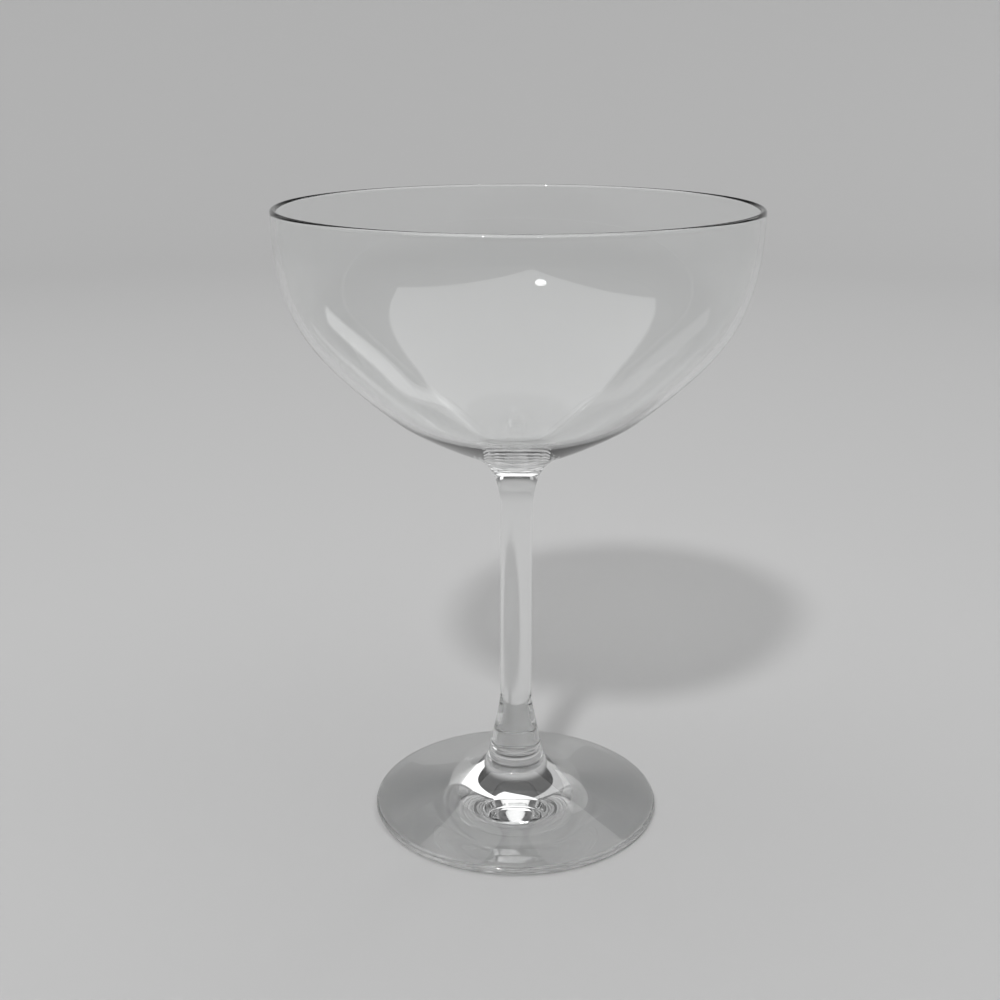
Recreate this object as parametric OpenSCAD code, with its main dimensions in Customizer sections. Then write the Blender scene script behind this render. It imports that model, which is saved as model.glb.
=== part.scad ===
// Coupe glass of clear colourless glass: a wide shallow bowl on a drawn stem, a collar and a round foot.
// Four hot glass pieces sealed to one another. Millimetres, +Z up, origin on the table under the foot.

/* [Bowl] */
// Widest outside diameter of the bowl
bowl_d = 100; // [80:1:120]
// Height of the bowl, from the lowest point of its base to the crown of its lip
bowl_h = 54.4; // [44:0.2:66]
// Thickness of the glass at the lip, which is fully rounded
lip_t = 1.3; // [1:0.1:3]
// Thickness of the glass in the middle of the base
base_t = 2.2; // [1.6:0.1:5]

/* [Stem] */
// Height of the stem, from the collar to the lowest point of the bowl
stem_h = 66.1; // [54:0.1:90]
// Diameter of the straight part of the stem
stem_d = 7; // [5:0.1:9]
// Diameter of the trumpet where it is sealed under the bowl
trumpet_d = 18; // [13:0.2:26]
// Height over which the trumpet widens, up to its seal
trumpet_h = 13.9; // [9:0.1:24]
// How much steeper the trumpet leaves the outline of the bowl at the seal, in degrees
seal_turn = 15.4; // [6:0.2:30]
// Diameter of the flared lower end of the stem
ankle_d = 10.8; // [9.4:0.1:12]
// Height over which the lower end flares
ankle_h = 13.2; // [6:0.1:20]

/* [Collar] */
// Diameter of the collar where it is sealed to the foot
collar_d = 12.6; // [12:0.1:17]
// Height of the collar
collar_h = 3.5; // [2:0.1:7]
// How far the rounded top of the collar stands out round the stem
lip_w = 0.35; // [0.2:0.05:0.6]

/* [Foot] */
// Diameter of the foot
foot_d = 64.4; // [52:0.2:80]
// Height of the foot, from the table to the collar
foot_h = 12.1; // [9.6:0.1:18]
// How far the rounded crown of the foot stands out round the collar
crown_w = 0.2; // [0.1:0.05:0.4]
// Fall of the sweep at the edge of the foot, in degrees
rim_fall = 13; // [8:0.5:18]
// Thickness of the foot at its rounded edge
edge_t = 1.7; // [1.2:0.1:3]
// Width of the flat ring that the foot stands on, between its edge and the hollow under it
ring_w = 1.6; // [1:0.1:6]
// Depth of the hollow under the foot
hollow_h = 0.8; // [0.4:0.1:2.4]

/* [Hidden] */
$fn = 96;
// Straight pieces in each span of a curve and in a rounded edge
span_steps = 8;
round_steps = 6;
// Halvings in the search for the seal on the bowl's outline
search_steps = 40;
// How late the wall thickens from the lip down to the base
wall_power = 5;

// Control points of four swept outlines, as shares of each one's own width and height
bowl_shares = [[1, 1], [1, 0.823], [0.92, 0.52], [0.565, 0.227], [0.47, 0.159], [0.129, 0], [0, 0]];
ankle_shares = [[0, 1], [0, 0.78], [0.5, 0.42], [0.96, 0.1], [1, 0]];
sweep_shares = [[0.013, 0.927], [0.093, 0.689], [0.353, 0.383]];
hollow_shares = [[1, 0], [0.71, 0.5], [0.42, 1], [0, 1]];
// First leg of the trumpet's control points as a share of its width, and the next drop as one of what is left
trumpet_leg_share = 0.847;
trumpet_drop_share = 0.552;
// Places of the control points along the straight side of the collar
side_shares = [0.3, 0.7];
// Drop of a rounded top as a share of how far it stands out
round_drop_share = 0.2;
// Length of the foot's fall at its edge as a share of the width of its sweep
fall_share = 0.355;

// Radii of the pieces
bowl_r = bowl_d / 2;
lip_r = lip_t / 2;
stem_r = stem_d / 2;
trumpet_r = trumpet_d / 2;
ankle_r = ankle_d / 2;
collar_r = collar_d / 2;
edge_r = edge_t / 2;
foot_r = foot_d / 2;
hollow_r = foot_r - edge_r - ring_w;

// Heights of the seals above the table, each piece standing on the one below
collar_z = foot_h;
stem_z = collar_z + collar_h;
bowl_z = stem_z + stem_h;

// Point i of a control polygon, which is mirrored through its first and its last point
function knot(p, i) =
    let (last = len(p) - 1)
    i < 0 ? 2 * p[0] - p[1] : i > last ? 2 * p[last] - p[last - 1] : p[i];

// Point of the smooth cubic curve that follows a control polygon, u counting its spans
function curve(p, u) =
    let (i = min(floor(u), len(p) - 2))
    let (t = u - i)
    let (before = pow(1 - t, 3) * knot(p, i - 1))
    let (near = (4 - 6 * pow(t, 2) + 3 * pow(t, 3)) * knot(p, i))
    let (far = (1 + 3 * t + 3 * pow(t, 2) - 3 * pow(t, 3)) * knot(p, i + 1))
    let (after = pow(t, 3) * knot(p, i + 2))
    (before + near + far + after) / 6;

// Direction of that curve at u, one long
function heading(p, u) =
    let (i = min(floor(u), len(p) - 2))
    let (t = u - i)
    let (before = -pow(1 - t, 2) * knot(p, i - 1))
    let (near = (3 * pow(t, 2) - 4 * t) * knot(p, i))
    let (far = (1 + 2 * t - 3 * pow(t, 2)) * knot(p, i + 1))
    let (after = pow(t, 2) * knot(p, i + 2))
    let (along = before + near + far + after)
    along / norm(along);

// Points of a curve from u = low to u = high
function stretch(p, low, high) =
    let (steps = ceil((high - low) * span_steps))
    [for (k = [0:steps]) curve(p, low + (high - low) * k / steps)];

// Points of a whole curve
function whole(p) = stretch(p, 0, len(p) - 1);

// Control polygon of shares laid into the box from corner low to corner high
function laid(shares, low, high) =
    [for (s = shares) [low[0] + s[0] * (high[0] - low[0]), low[1] + s[1] * (high[1] - low[1])]];

// Place on a curve that runs inwards at which it reaches radius r, between low and high
function at_radius(p, r, low, high, steps) =
    let (mid = (low + high) / 2)
    steps == 0 ? mid
        : curve(p, mid)[0] > r ? at_radius(p, r, mid, high, steps - 1)
        : at_radius(p, r, low, mid, steps - 1);

// Control point beside a sharp top, which makes it round
function beside(top, width) = top + width * [1, -round_drop_share];

// Points of a round edge about a centre, from one angle to another
function round_edge(centre, radius, from, to) =
    [for (k = [0:round_steps])
        let (angle = from + (to - from) * k / round_steps)
        centre + radius * [cos(angle), sin(angle)]];

// Direction turned anticlockwise by an angle
function swung(along, angle) =
    [along[0] * cos(angle) - along[1] * sin(angle), along[0] * sin(angle) + along[1] * cos(angle)];

function reversed(points) = [for (k = [len(points) - 1:-1:0]) points[k]];

// Outside of the bowl from its lip to the axis, and the place on it where the trumpet is sealed
bowl_line = laid(bowl_shares, [0, bowl_z], [bowl_r, bowl_z + bowl_h - lip_r]);
bowl_end = len(bowl_line) - 1;
seal_u = at_radius(bowl_line, trumpet_r, 0, bowl_end, search_steps);
seal_z = curve(bowl_line, seal_u)[1];

// Underside of the bowl inside that seal, shared by both pieces, from the seal to the axis
bowl_seat = stretch(bowl_line, seal_u, bowl_end);

// Inside of the bowl: the outside moved in by the wall, which thickens towards the base
function wall(u) = lip_t + (base_t - lip_t) * pow(u / bowl_end, wall_power);
function inside(u) =
    let (along = heading(bowl_line, u))
    curve(bowl_line, u) + wall(u) * [along[1], -along[0]];
inside_steps = bowl_end * span_steps;
bowl_inside = [for (k = [0:inside_steps - 1]) inside(bowl_end * k / inside_steps)];

// Body of revolution of an outline given as radius and height
module turned(outline) {
    rotate_extrude()
        polygon(outline);
}

// Blown shell with a rounded lip and a thicker base
module bowl() {
    lip_centre = [bowl_r - lip_r, bowl_z + bowl_h - lip_r];
    color("whitesmoke")
        turned(concat(
            round_edge(lip_centre, lip_r, 180, 0),
            stretch(bowl_line, 0, seal_u),
            bowl_seat,
            [[0, bowl_z + base_t]],
            reversed(bowl_inside)));
}

// Drawn solid stem: a trumpet under the base of the bowl, a straight shank and a flared lower end
module stem() {
    seal_edge = [trumpet_r, seal_z];
    leg = trumpet_leg_share * (trumpet_r - stem_r);
    shoulder = seal_edge + leg * swung(heading(bowl_line, seal_u), seal_turn);
    shank_top = [stem_r, seal_z - trumpet_h];
    neck = [stem_r, shoulder[1] + trumpet_drop_share * (shank_top[1] - shoulder[1])];
    trumpet_line = [seal_edge, shoulder, neck, shank_top];
    ankle_line = laid(ankle_shares, [stem_r, stem_z], [ankle_r, stem_z + ankle_h]);
    color("whitesmoke")
        turned(concat(
            reversed(bowl_seat),
            whole(trumpet_line),
            whole(ankle_line),
            [[0, stem_z]]));
}

// Wafer of glass between the stem and the foot, which stands out round the stem and widens to the foot
module collar() {
    top = [ankle_r, stem_z];
    low = [collar_r, collar_z];
    lip = beside(top, lip_w);
    side = [for (s = side_shares) lip + s * (low - lip)];
    color("whitesmoke")
        turned(concat(
            [[0, stem_z]],
            whole(concat([top, lip], side, [low])),
            [[0, collar_z]]));
}

// Foot with a rounded crown and a hollow sweep that falls to a thin rounded edge, slightly hollow underneath
module foot() {
    top = [collar_r, collar_z];
    crown = beside(top, crown_w);
    edge_centre = [foot_r - edge_r, edge_r];
    rim = edge_centre + edge_r * [sin(rim_fall), cos(rim_fall)];
    sweep = laid(sweep_shares, [collar_r, rim[1]], [rim[0], collar_z]);
    fall = rim + fall_share * (rim[0] - collar_r) * [-1, tan(rim_fall)];
    color("whitesmoke")
        turned(concat(
            [[0, collar_z]],
            whole(concat([top, crown], sweep, [fall, rim])),
            round_edge(edge_centre, edge_r, 90 - rim_fall, -90),
            whole(laid(hollow_shares, [0, 0], [hollow_r, hollow_h]))));
}

bowl();
stem();
collar();
foot();
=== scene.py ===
"""Looks of a coupe glass: four pieces of clear colourless glass on a plain pale floor, in metres."""

from math import pi, radians

import bpy
import numpy as np
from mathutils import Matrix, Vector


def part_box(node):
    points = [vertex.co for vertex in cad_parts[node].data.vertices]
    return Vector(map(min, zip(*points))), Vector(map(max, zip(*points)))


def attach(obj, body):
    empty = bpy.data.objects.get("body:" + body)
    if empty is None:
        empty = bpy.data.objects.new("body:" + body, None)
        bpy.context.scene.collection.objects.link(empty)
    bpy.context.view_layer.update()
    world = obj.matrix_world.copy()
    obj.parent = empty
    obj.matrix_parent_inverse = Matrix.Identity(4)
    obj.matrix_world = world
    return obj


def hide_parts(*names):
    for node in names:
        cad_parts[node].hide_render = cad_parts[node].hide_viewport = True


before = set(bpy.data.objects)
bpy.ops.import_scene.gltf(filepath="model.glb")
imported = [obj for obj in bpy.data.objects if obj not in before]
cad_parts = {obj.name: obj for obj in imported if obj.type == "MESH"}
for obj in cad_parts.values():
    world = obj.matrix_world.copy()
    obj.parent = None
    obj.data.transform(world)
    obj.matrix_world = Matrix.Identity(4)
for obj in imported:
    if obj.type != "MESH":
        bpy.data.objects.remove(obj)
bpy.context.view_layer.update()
scene = bpy.context.scene


# Bowl
# The blown shell that holds the drink. Clear soda glass, thin up to its fire-polished lip and a little thicker in its
# rounded base, under which the trumpet of the stem is fused hot.

def spline(points, u):
    """Points and directions of a uniform cubic B-spline at u, which counts the legs of its control polygon.
    The polygon is mirrored through its first and last point, so that the curve starts and ends on them."""
    points = np.asarray(points, float)
    mirrored = np.vstack([2 * points[0] - points[1], points, 2 * points[-1] - points[-2]])
    leg = np.clip(np.floor(u).astype(int), 0, len(points) - 2)
    t = (u - leg)[:, None]
    a, b, c, d = (mirrored[leg + k] for k in range(4))
    place = (1 - t)**3 * a + (4 - 6 * t**2 + 3 * t**3) * b + (1 + 3 * t + 3 * t**2 - 3 * t**3) * c + t**3 * d
    along = -(1 - t)**2 * a + (3 * t**2 - 4 * t) * b + (1 + 2 * t - 3 * t**2) * c + t**2 * d
    return place / 6, along / np.linalg.norm(along, axis=1, keepdims=True)


def whole(points, steps):
    """Points of a whole spline, with that many steps on each leg."""
    legs = len(points) - 1
    return spline(points, np.linspace(0, legs, legs * steps + 1))[0]


def laid(shares, low, high):
    """Control points given as shares of the width and height of the box from corner low to corner high."""
    return np.asarray(low) + np.asarray(shares) * (np.asarray(high) - np.asarray(low))


def rounded(centre, radius, start, end, steps):
    """Points of a round edge: an arc about a centre from one angle to another, in degrees."""
    angle = np.radians(np.linspace(start, end, steps + 1))
    return np.asarray(centre) + radius * np.stack([np.cos(angle), np.sin(angle)], 1)


def turned_piece(name, stretches, finishes, turns=256):
    """Closed surface of revolution. Stretches are runs of (radius, height) points, each with the number of its
    finish, that together lead from the axis below to the axis above. Each point but the first and the last becomes a
    ring, (r cos a, r sin a, z), and the two ends become poles."""
    sharp_angle = radians(40)
    points = [stretches[0][0][:1]]
    finish = []
    for run, finish_number in stretches:
        fresh = run[1:] if np.allclose(run[0], points[-1][-1], atol=1e-9) else run
        points.append(fresh)
        finish.append(np.full(len(fresh), finish_number))
    points, finish = np.concatenate(points), np.concatenate(finish)
    rings = points[1:-1]
    angle = np.linspace(0, 2 * pi, turns, endpoint=False)
    grid = np.stack([
        rings[:, :1] * np.cos(angle),
        rings[:, :1] * np.sin(angle),
        np.repeat(rings[:, 1:], turns, 1)], 2)
    poles = np.array([[0, 0, points[0, 1]], [0, 0, points[-1, 1]]])
    places = np.concatenate([grid.reshape(-1, 3), poles])
    here = np.arange(len(rings) * turns).reshape(len(rings), turns)
    after = np.roll(here, -1, 1)
    bands = np.stack([here[:-1], after[:-1], after[1:], here[1:]], 2).reshape(-1, 4)
    below = np.stack([after[0], here[0], np.full(turns, len(places) - 2)], 1)
    above = np.stack([here[-1], after[-1], np.full(turns, len(places) - 1)], 1)
    mesh = bpy.data.meshes.new(name)
    mesh.from_pydata(places, [], below.tolist() + bands.tolist() + above.tolist())
    mesh.polygons.foreach_set("material_index", np.repeat(finish, turns).astype(np.int32))
    mesh.polygons.foreach_set("use_smooth", np.ones(len(mesh.polygons), bool))
    mesh.set_sharp_from_angle(angle=sharp_angle)
    for material in finishes:
        mesh.materials.append(material)
    piece = bpy.data.objects.new(name, mesh)
    scene.collection.objects.link(piece)
    return piece


def clear_glass(name, grain, ripple, scuff_below=None):
    """Clear glass with the faint ripple of hot working. A noise stretched by grain, in waves per metre along X, Y and
    Z, lifts the surface by up to ripple metres, and a finer noise varies its polish. Below the height scuff_below, if
    given, fine scratches dull it."""
    glass_colour, glass_ior = (0.985, 0.99, 0.988, 1), 1.51
    smears_per_metre, smear_low, smear_high = 90, 0.35, 0.75
    smeared_roughness, scuffed_roughness = 0.012, 0.12
    material = bpy.data.materials.new(name)
    material.use_nodes = True
    nodes, link = material.node_tree.nodes, material.node_tree.links.new
    shader = nodes["Principled BSDF"]
    shader.inputs["Base Color"].default_value = glass_colour
    shader.inputs["Transmission Weight"].default_value = 1
    shader.inputs["IOR"].default_value = glass_ior
    place = nodes.new("ShaderNodeTexCoord")
    stretch = nodes.new("ShaderNodeMapping")
    stretch.inputs["Scale"].default_value = grain
    link(place.outputs["Object"], stretch.inputs["Vector"])
    waves = nodes.new("ShaderNodeTexNoise")
    waves.inputs["Scale"].default_value = 1
    waves.inputs["Detail"].default_value = 1
    link(stretch.outputs["Vector"], waves.inputs["Vector"])
    lift = nodes.new("ShaderNodeBump")
    lift.inputs["Strength"].default_value = 1
    lift.inputs["Distance"].default_value = ripple
    link(waves.outputs["Fac"], lift.inputs["Height"])
    link(lift.outputs["Normal"], shader.inputs["Normal"])
    smears = nodes.new("ShaderNodeTexNoise")
    smears.inputs["Scale"].default_value = smears_per_metre
    smears.inputs["Detail"].default_value = 3
    link(place.outputs["Object"], smears.inputs["Vector"])
    polish = nodes.new("ShaderNodeMapRange")
    polish.inputs["From Min"].default_value = smear_low
    polish.inputs["From Max"].default_value = smear_high
    polish.inputs["To Min"].default_value = 0
    polish.inputs["To Max"].default_value = smeared_roughness
    link(smears.outputs["Fac"], polish.inputs["Value"])
    dulled = polish.outputs["Result"]
    if scuff_below is not None:
        split = nodes.new("ShaderNodeSeparateXYZ")
        link(place.outputs["Object"], split.inputs["Vector"])
        worn = nodes.new("ShaderNodeMapRange")
        worn.inputs["From Min"].default_value = scuff_below
        worn.inputs["From Max"].default_value = 0
        worn.inputs["To Max"].default_value = scuffed_roughness
        link(split.outputs["Z"], worn.inputs["Value"])
        most = nodes.new("ShaderNodeMath")
        most.operation = "MAXIMUM"
        link(worn.outputs["Result"], most.inputs[0])
        link(dulled, most.inputs[1])
        dulled = most.outputs["Value"]
    link(dulled, shader.inputs["Roughness"])
    return material


# Fused glass shows no surface at a seal, so the faces there are see-through
fused = bpy.data.materials.new("fused_seal")
fused.use_nodes = True
fused.node_tree.nodes.remove(fused.node_tree.nodes["Principled BSDF"])
through = fused.node_tree.nodes.new("ShaderNodeBsdfTransparent")
fused.node_tree.links.new(through.outputs["BSDF"], fused.node_tree.nodes["Material Output"].inputs["Surface"])

GLASS, SEAL = 0, 1
lowest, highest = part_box("bowl")
bowl_r, bowl_z, bowl_top = highest.x, lowest.z, highest.z
lip_t, base_t, wall_power = 0.0013, 0.0022, 5
lip_r = lip_t / 2
bowl_shares = [[1, 1], [1, 0.823], [0.92, 0.52], [0.565, 0.227], [0.47, 0.159], [0.129, 0], [0, 0]]
bowl_line = laid(bowl_shares, [0, bowl_z], [bowl_r, bowl_top - lip_r])
bowl_legs = len(bowl_line) - 1
trumpet_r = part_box("stem")[1].x
search_points, seat_points, outside_points, inside_points = 20001, 28, 100, 121
fine = np.linspace(0, bowl_legs, search_points)
seal_u = fine[np.argmin(np.abs(spline(bowl_line, fine)[0][:, 0] - trumpet_r))]
seat = spline(bowl_line, np.linspace(bowl_legs, seal_u, seat_points))[0]
outside = spline(bowl_line, np.linspace(seal_u, 0, outside_points))[0]
inside_u = np.linspace(0, bowl_legs, inside_points)
skin, along = spline(bowl_line, inside_u)
wall = lip_t + (base_t - lip_t) * (inside_u / bowl_legs)**wall_power
inside = skin + wall[:, None] * np.stack([along[:, 1], -along[:, 0]], 1)
inside[-1, 0] = 0
lip = rounded([bowl_r - lip_r, bowl_top - lip_r], lip_r, 0, 180, steps=20)
bowl = turned_piece(
    "bowl_shell",
    [(seat, SEAL), (outside, GLASS), (lip, GLASS), (inside, GLASS)],
    [clear_glass("blown_glass", grain=(70, 70, 40), ripple=5e-6), fused])
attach(bowl, "root")
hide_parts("bowl")


# Stem
# A solid rod drawn from a gather of the same glass. Its upper end spreads as a small trumpet under the base of the bowl
# and its lower end flares where it stands on the collar, and both are fused hot.

stem_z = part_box("stem")[0].z
stem_r, trumpet_h, seal_turn = 0.0035, 0.0139, radians(15.4)
trumpet_leg_share, trumpet_drop_share = 0.847, 0.552
ankle_r, ankle_h = 0.0054, 0.0132
ankle_shares = [[1, 0], [0.96, 0.1], [0.5, 0.42], [0, 0.78], [0, 1]]
seal_point, seal_way = (v[0] for v in spline(bowl_line, np.array([seal_u])))
swing = np.array([[np.cos(seal_turn), -np.sin(seal_turn)], [np.sin(seal_turn), np.cos(seal_turn)]])
shoulder = seal_point + trumpet_leg_share * (trumpet_r - stem_r) * swing @ seal_way
shank_top = np.array([stem_r, seal_point[1] - trumpet_h])
neck = np.array([stem_r, shoulder[1] + trumpet_drop_share * (shank_top[1] - shoulder[1])])
trumpet = whole([shank_top, neck, shoulder, seal_point], steps=24)
ankle = whole(laid(ankle_shares, [stem_r, stem_z], [ankle_r, stem_z + ankle_h]), steps=20)
shank_points = 24
shank = np.stack([
    np.full(shank_points, stem_r), np.linspace(stem_z + ankle_h, shank_top[1], shank_points)], 1)
stem_base = np.array([[0, stem_z], [ankle_r, stem_z]])
stem = turned_piece(
    "stem_rod",
    [(stem_base, SEAL), (ankle, GLASS), (shank, GLASS), (trumpet, GLASS), (seat[::-1], SEAL)],
    [clear_glass("drawn_glass", grain=(160, 160, 22), ripple=4e-6), fused])
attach(stem, "root")
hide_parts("stem")


# Collar
# A small wafer of hot glass that is set on the foot to take the stem. Its rounded top stands out a little round the
# stem, and it widens to the foot. Both steps catch the light as fine bright rings.

def beside(top, width):
    """Control point that makes a sharp top round: out by width and down by a fifth of it."""
    return top + width * np.array([1, -0.2])


collar_low, collar_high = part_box("collar")
collar_r, collar_z, lip_w = collar_high.x, collar_low.z, 0.00035
low_share, high_share = 0.7, 0.3
collar_top, collar_base = np.array([ankle_r, stem_z]), np.array([collar_r, collar_z])
collar_lip = beside(collar_top, lip_w)
collar_fall = collar_base - collar_lip
collar_side = whole([
    collar_base, collar_lip + low_share * collar_fall, collar_lip + high_share * collar_fall,
    collar_lip, collar_top], steps=12)
collar = turned_piece(
    "collar_wafer",
    [(np.array([[0, collar_z], collar_base]), SEAL), (collar_side, GLASS),
     (np.array([collar_top, [0, stem_z]]), SEAL)],
    [clear_glass("wafer_glass", grain=(120, 120, 120), ripple=2e-6), fused])
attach(collar, "root")
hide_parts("collar")


# Foot
# A disc of hot glass that is spun out from under the collar in one hollow sweep, down to a thin rounded edge. It is
# slightly hollow underneath and stands on a narrow ring, which is lightly scuffed.

foot_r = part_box("foot")[1].x
edge_t, ring_w, hollow_h = 0.0017, 0.0016, 0.0008
crown_w, rim_fall, fall_share = 0.0002, radians(13), 0.355
hollow_shares = [[0, 1], [0.42, 1], [0.71, 0.5], [1, 0]]
sweep_shares = [[0.353, 0.383], [0.093, 0.689], [0.013, 0.927]]
edge_r = edge_t / 2
edge_centre = np.array([foot_r - edge_r, edge_r])
hollow_r = foot_r - edge_r - ring_w
hollow = whole(laid(hollow_shares, [0, 0], [hollow_r, hollow_h]), steps=20)
ring_points = 6
ring = np.stack([np.linspace(hollow_r, foot_r - edge_r, ring_points), np.zeros(ring_points)], 1)
foot_edge = rounded(edge_centre, edge_r, -90, 90 - np.degrees(rim_fall), steps=24)
rim = foot_edge[-1]
fall = rim + fall_share * (rim[0] - collar_r) * np.array([-1, np.tan(rim_fall)])
sweep = laid(sweep_shares, [collar_r, rim[1]], [rim[0], collar_z])
crown = beside(collar_base, crown_w)
foot_top = whole(np.vstack([rim, fall, sweep, crown, collar_base]), steps=24)
foot = turned_piece(
    "foot_disc",
    [(hollow, GLASS), (ring, GLASS), (foot_edge, GLASS), (foot_top, GLASS),
     (np.array([collar_base, [0, collar_z]]), SEAL)],
    [clear_glass("spun_glass", grain=(60, 60, 60), ripple=3e-6, scuff_below=0.00006), fused])
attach(foot, "root")
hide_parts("foot")


# Floor
# A plain pale sheet of paper that curves up all round into a backdrop, so that it has no horizon from any side. Up the
# backdrop its colour is painted darker: painted shade that stands in for the dim room above the lit floor and makes the
# rim stand out. Between the paper and the glass is a hair of air.

floor_gap, floor_flat, floor_bend, floor_wall = 0.00002, 0.9, 0.6, 1.1
floor_turns, flat_points = 128, 40
# Pale paper below, and a dark grey painted over the upper backdrop as painted shade for the dim room, fading in between
# these two heights in metres
pale, painted_shade = (0.54, 0.54, 0.54, 1), (0.1, 0.1, 0.1, 1)
painted_shade_low, painted_shade_high = 0.25, 0.7
floor_run = np.concatenate([
    np.stack([np.linspace(0, floor_flat, flat_points), np.full(flat_points, -floor_gap)], 1),
    rounded([floor_flat, floor_bend - floor_gap], floor_bend, -90, 0, steps=32)[1:],
    [[floor_flat + floor_bend, floor_wall]]])
floor_angle = np.linspace(0, 2 * pi, floor_turns, endpoint=False)
floor_grid = np.stack([
    floor_run[1:, :1] * np.cos(floor_angle),
    floor_run[1:, :1] * np.sin(floor_angle),
    np.repeat(floor_run[1:, 1:], floor_turns, 1)], 2).reshape(-1, 3)
floor_here = np.arange(len(floor_grid)).reshape(-1, floor_turns)
floor_after = np.roll(floor_here, -1, 1)
floor_bands = np.stack([floor_here[:-1], floor_here[1:], floor_after[1:], floor_after[:-1]], 2).reshape(-1, 4)
floor_middle = np.stack([floor_here[0], floor_after[0], np.full(floor_turns, len(floor_grid))], 1)
floor_mesh = bpy.data.meshes.new("floor")
floor_mesh.from_pydata(
    np.vstack([floor_grid, [[0, 0, -floor_gap]]]), [], floor_bands.tolist() + floor_middle.tolist())
floor_mesh.polygons.foreach_set("use_smooth", np.ones(len(floor_mesh.polygons), bool))
paper = bpy.data.materials.new("pale_paper")
paper.use_nodes = True
paper_nodes, paper_link = paper.node_tree.nodes, paper.node_tree.links.new
paper_shader = paper_nodes["Principled BSDF"]
paper_shader.inputs["Roughness"].default_value = 0.9
paper_shader.inputs["Specular IOR Level"].default_value = 0.1
paper_place = paper_nodes.new("ShaderNodeTexCoord")
paper_height = paper_nodes.new("ShaderNodeSeparateXYZ")
paper_link(paper_place.outputs["Object"], paper_height.inputs["Vector"])
# Painted shade: the paper's colour goes from pale to dark grey up the backdrop
painted_shade_fade = paper_nodes.new("ShaderNodeMapRange")
painted_shade_fade.interpolation_type = "SMOOTHSTEP"
painted_shade_fade.inputs["From Min"].default_value = painted_shade_low
painted_shade_fade.inputs["From Max"].default_value = painted_shade_high
paper_link(paper_height.outputs["Z"], painted_shade_fade.inputs["Value"])
paper_mix = paper_nodes.new("ShaderNodeMix")
paper_mix.data_type = "RGBA"
paper_mix.inputs["A"].default_value = pale
paper_mix.inputs["B"].default_value = painted_shade
paper_link(painted_shade_fade.outputs["Result"], paper_mix.inputs["Factor"])
paper_link(paper_mix.outputs["Result"], paper_shader.inputs["Base Color"])
floor_mesh.materials.append(paper)
floor = bpy.data.objects.new("floor", floor_mesh)
scene.collection.objects.link(floor)


# Light
# Soft studio light: a large panel overhead, a small round lamp in front on the left that casts the shadow, and behind
# the glass an upright softbox on either side, dimmer on the left, that draws the sides of the bowl. The room is dim.

def panel(name, shape, place, aim, size, power):
    """Flat soft light of a given shape, with its width and height as size, at place and turned to face aim."""
    lamp = bpy.data.lights.new(name, "AREA")
    lamp.shape, lamp.energy = shape, power
    lamp.size, lamp.size_y = size
    light = bpy.data.objects.new(name, lamp)
    light.location = place
    light.rotation_euler = (Vector(aim) - Vector(place)).to_track_quat("-Z", "Y").to_euler()
    scene.collection.objects.link(light)
    return light


overhead = panel("overhead_panel", "RECTANGLE", place=(0, 0, 1.32), aim=(0, 0, 0), size=(2.4, 2.4), power=20)
overhead.rotation_euler = (0, 0, radians(36))
panel("key_lamp", "ELLIPSE", place=(-0.53, -1.82, 2.1), aim=(0, 0, 0.05), size=(0.25, 0.25), power=30)
softbox_aim, softbox_size = (0, 0, 0.4), (0.26, 0.8)
right_box = panel("right_softbox", "RECTANGLE", (0.64, 1.02, 0.86), softbox_aim, softbox_size, power=0.85)
left_box = panel("left_softbox", "RECTANGLE", (-0.64, 1.02, 0.86), softbox_aim, softbox_size, power=0.3)
right_box.visible_camera = left_box.visible_camera = False
room = bpy.data.worlds.new("room")
room.use_nodes = True
room.node_tree.nodes["Background"].inputs["Color"].default_value = (0.1, 0.1, 0.1, 1)
scene.world = room


# Camera
# The photograph's viewing angle: close in front of the glass, a little above its rim and tilted down by 18 degrees.
# Colours come out as written, and light may bounce often enough to pass through every wall of the glass.

lens = bpy.data.cameras.new("camera")
lens.lens, lens.sensor_width = 50, 36
lens.clip_start, lens.clip_end = 0.01, 20
camera = bpy.data.objects.new("camera", lens)
camera.location = (0, -0.28745, 0.16456)
camera.rotation_euler = (radians(72.35), 0, radians(0.718))
scene.collection.objects.link(camera)
scene.camera = camera

scene.view_settings.view_transform = "Standard"
scene.cycles.max_bounces = 32
scene.cycles.transmission_bounces = 24
scene.cycles.glossy_bounces = 16
scene.cycles.transparent_max_bounces = 32
